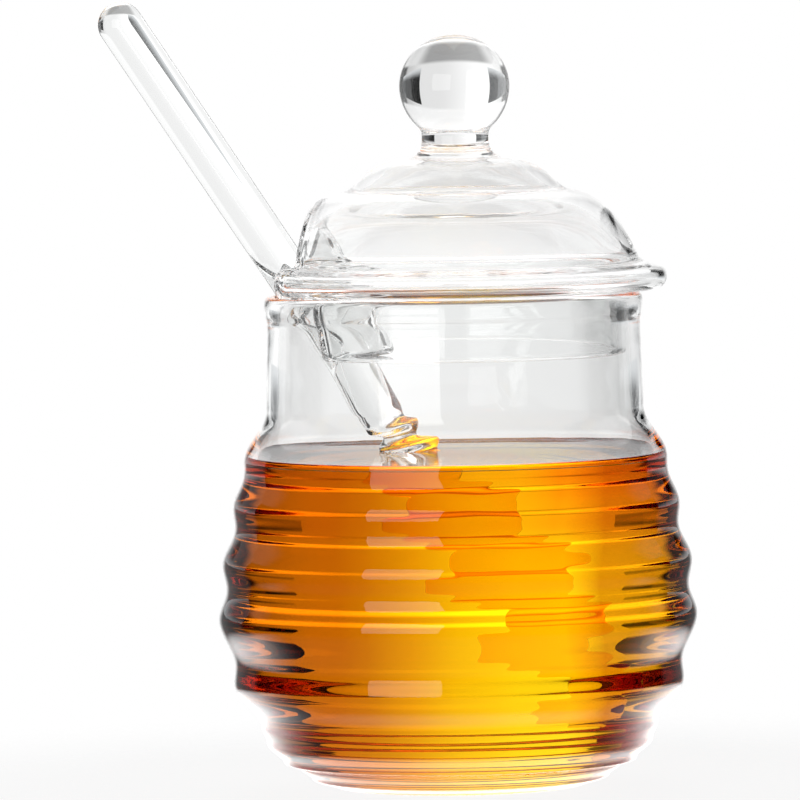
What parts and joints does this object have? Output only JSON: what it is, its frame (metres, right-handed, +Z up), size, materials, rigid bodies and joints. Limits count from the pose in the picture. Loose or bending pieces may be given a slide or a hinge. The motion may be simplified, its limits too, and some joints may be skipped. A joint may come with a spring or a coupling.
{
  "type": "honey jar",
  "caption": "Ribbed beehive glass jar filled with honey, with a knobbed glass lid and a glass dipper leaning out past the lid.",
  "frame": {"origin": "centre of the jar's flat foot, on the jar's axis", "axes": "+Z up the jar's axis, the dipper's handle leaning out towards -X, the shown front towards -Y"},
  "size_m": [0.1047, 0.0852, 0.14],
  "materials": {
    "jar_glass": "clear, thin blown wall",
    "lid_glass": "clear, thin blown wall and a solid knob",
    "dipper_glass": "clear solid rod",
    "honey": "clear golden amber liquid"
  },
  "bodies": {
    "root": {"jar": "jar_glass", "lid": "lid_glass", "dipper": "dipper_glass", "honey": "honey"}
  },
  "joints": []
}
